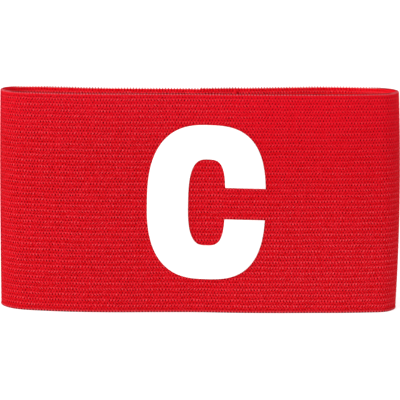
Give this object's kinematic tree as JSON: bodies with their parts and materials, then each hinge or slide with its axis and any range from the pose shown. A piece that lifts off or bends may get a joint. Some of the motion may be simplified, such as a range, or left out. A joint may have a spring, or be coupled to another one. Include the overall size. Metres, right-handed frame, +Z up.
{
  "type": "captain armband",
  "caption": "Wide elastic webbing loop, lap-sewn at the back, with a plain block letter pressed on the front. Worn on an upper arm.",
  "frame": {"origin": "on the surface that the loop's lower edge rests on, below the centre of the part's bounding box", "axes": "+X along the flattened loop, to the right of someone who faces the letter; +Y from the front wall to the back wall; +Z up across the webbing"},
  "size_m": [0.129, 0.0271, 0.07],
  "materials": {
    "webbing": "matte ribbed woven elastic with a faint sheen on the raised threads",
    "letter_film": "smooth matte heat-transfer film"
  },
  "bodies": {
    "root": {"elastic_band": "webbing", "front_letter": "letter_film"}
  },
  "joints": []
}
